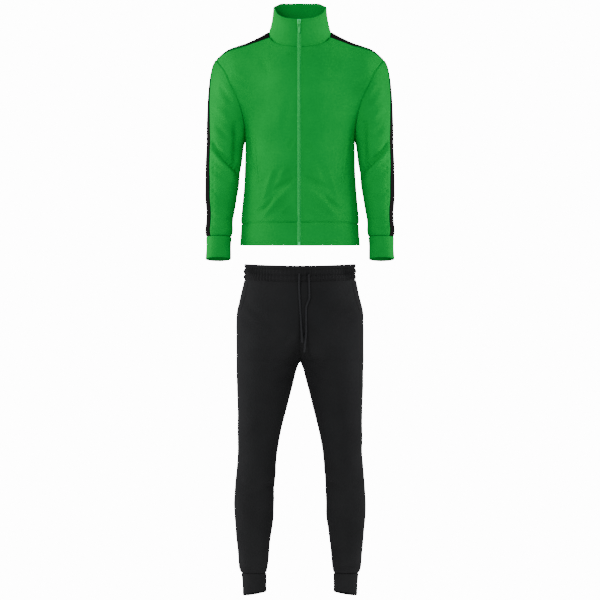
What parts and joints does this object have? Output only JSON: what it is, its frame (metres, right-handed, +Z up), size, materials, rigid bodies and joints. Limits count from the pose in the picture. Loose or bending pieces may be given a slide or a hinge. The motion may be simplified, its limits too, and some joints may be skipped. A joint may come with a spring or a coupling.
{
  "type": "tracksuit",
  "caption": "Two-piece tracksuit: stand-collar jacket with full zip and striped sleeves, and tapered joggers with a gathered drawcord waist",
  "frame": {"origin": "where the jacket's shoulders rest on the wearer, on the middle line, level with the base of the neck", "axes": "+Z up, the front of the suit faces -Y, +X is the wearer's left"},
  "size_m": [0.5956, 0.2622, 1.8716],
  "materials": {
    "green_knit": "smooth matt polyester knit with a faint sheen",
    "black_stripe_knit": "smooth matt polyester knit",
    "black_knit": "matt brushed jersey",
    "black_cord": "flat braided cord",
    "green_zip_tape": "woven tape with moulded teeth",
    "green_zip_plastic": "moulded, slightly glossy"
  },
  "bodies": {
    "suit": {"jacket_front_left": "green_knit", "jacket_front_right": "green_knit", "jacket_back": "green_knit", "sleeve_left_front": "green_knit", "sleeve_left_back": "green_knit", "sleeve_right_front": "green_knit", "sleeve_right_back": "green_knit", "cuff_left": "green_knit", "cuff_right": "green_knit", "collar": "green_knit", "hem_band": "green_knit", "jacket_pocket_edge_left": "green_knit", "jacket_pocket_edge_right": "green_knit", "shoulder_stripe_left": "black_stripe_knit", "shoulder_stripe_right": "black_stripe_knit", "sleeve_left_stripe": "black_stripe_knit", "sleeve_right_stripe": "black_stripe_knit", "trouser_front_left": "black_knit", "trouser_front_right": "black_knit", "trouser_back_left": "black_knit", "trouser_back_right": "black_knit", "waistband": "black_knit", "ankle_cuff_left": "black_knit", "ankle_cuff_right": "black_knit", "trouser_pocket_edge_left": "black_knit", "trouser_pocket_edge_right": "black_knit", "drawcord_left": "black_cord", "drawcord_right": "black_cord", "zip_tape_left": "green_zip_tape", "zip_tape_right": "green_zip_tape", "zip_slider": "green_zip_plastic", "zip_box": "green_zip_plastic"},
    "pull_tab": {"zip_pull_tab": "green_zip_plastic"}
  },
  "joints": [
    {"name": "pull_tab_swing", "type": "hinge", "parent": "suit", "child": "pull_tab", "pos_m": [-0.003, -0.07913, 0.05441], "axis": [-1, 0, 0], "range_deg": [0, 165]}
  ]
}
